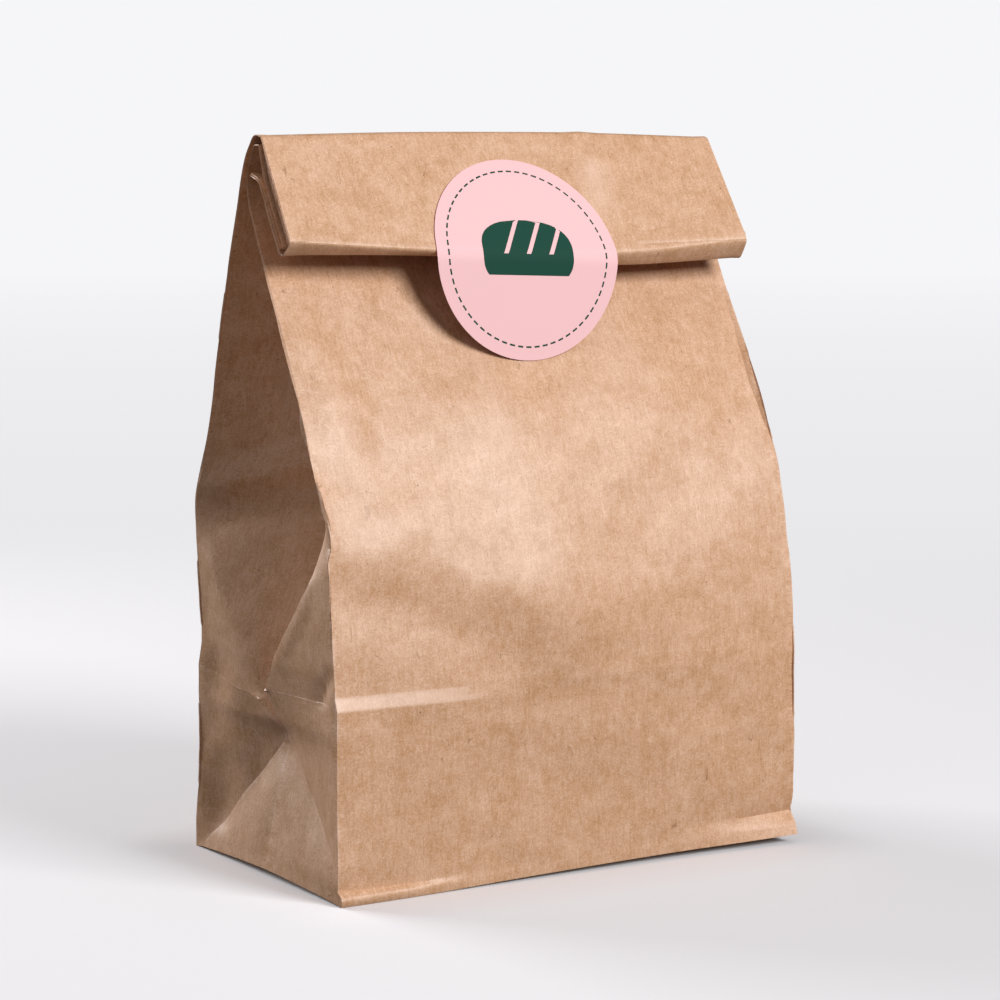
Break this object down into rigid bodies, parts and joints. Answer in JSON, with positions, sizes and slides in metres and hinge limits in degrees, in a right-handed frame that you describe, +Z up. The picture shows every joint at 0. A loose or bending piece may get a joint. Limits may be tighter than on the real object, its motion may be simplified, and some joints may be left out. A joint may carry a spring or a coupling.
{
  "type": "small paper bag",
  "caption": "Brown kraft block-bottom paper bag with gusseted sides, its top rolled forward and held down by a round pink sticker.",
  "frame": {"origin": "middle of the flat base, on the surface the bag stands on", "axes": "+Z up, -Y towards the front with the sticker and the rolled flap, +X to the right as the front is seen"},
  "size_m": [0.152, 0.0886, 0.2073],
  "materials": {
    "kraft_paper": "unbleached brown kraft, calendered to a faint sheen",
    "sticker_paper": "pale pink coated label paper with a dark green printed motif"
  },
  "bodies": {
    "root": {"paper_bag": "kraft_paper", "closure_sticker": "sticker_paper"}
  },
  "joints": []
}
